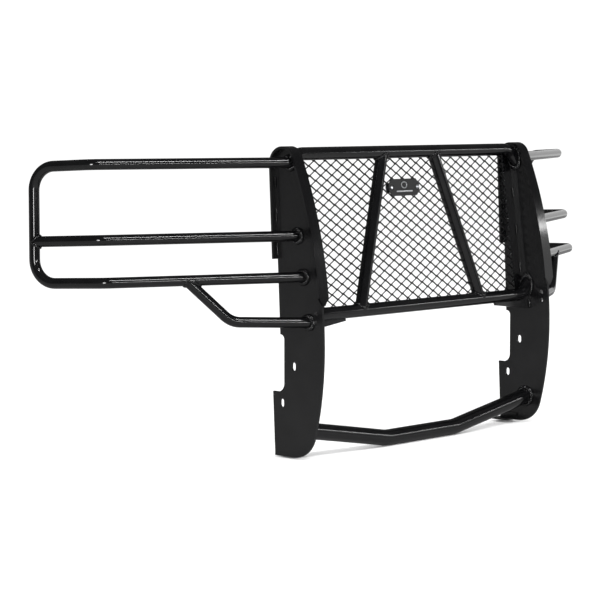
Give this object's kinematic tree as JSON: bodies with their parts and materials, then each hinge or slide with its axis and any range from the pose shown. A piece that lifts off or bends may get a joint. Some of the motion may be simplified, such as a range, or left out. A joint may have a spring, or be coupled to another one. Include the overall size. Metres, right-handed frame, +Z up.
{
  "type": "front grille guard",
  "caption": "Welded truck grille guard: two upright plates, an expanded mesh centre frame, a dipped lower bar and swept-back tube wings.",
  "frame": {"origin": "centre of the bounding box at its bottom", "axes": "+X to the right seen from in front, -Y forward, away from the truck, +Z up"},
  "size_m": [1.9872, 0.498, 0.7831],
  "materials": {
    "powder_coat": "gloss black powder coat",
    "mesh_coat": "black powder coat on expanded steel",
    "nameplate_coat": "satin black",
    "zinc_plate": "bright zinc plate"
  },
  "bodies": {
    "root": {"a_bar_left": "powder_coat", "a_bar_right": "powder_coat", "bottom_crossbar": "powder_coat", "crossbar_gusset_left": "powder_coat", "crossbar_gusset_right": "powder_coat", "foot_bracket_left": "powder_coat", "foot_bracket_right": "powder_coat", "lower_crossbar": "powder_coat", "mesh_screen": "mesh_coat", "mesh_side_bar_left": "powder_coat", "mesh_side_bar_right": "powder_coat", "nameplate": "nameplate_coat", "nameplate_nuts": "zinc_plate", "nameplate_screws": "zinc_plate", "nameplate_washers": "zinc_plate", "rim_strip_left": "powder_coat", "rim_strip_right": "powder_coat", "top_crossbar": "powder_coat", "upright_plate_left": "powder_coat", "upright_plate_right": "powder_coat", "wing_brace_left": "powder_coat", "wing_brace_right": "powder_coat", "wing_loop_left": "powder_coat", "wing_loop_right": "powder_coat", "wing_middle_bar_left": "powder_coat", "wing_middle_bar_right": "powder_coat"}
  },
  "joints": []
}
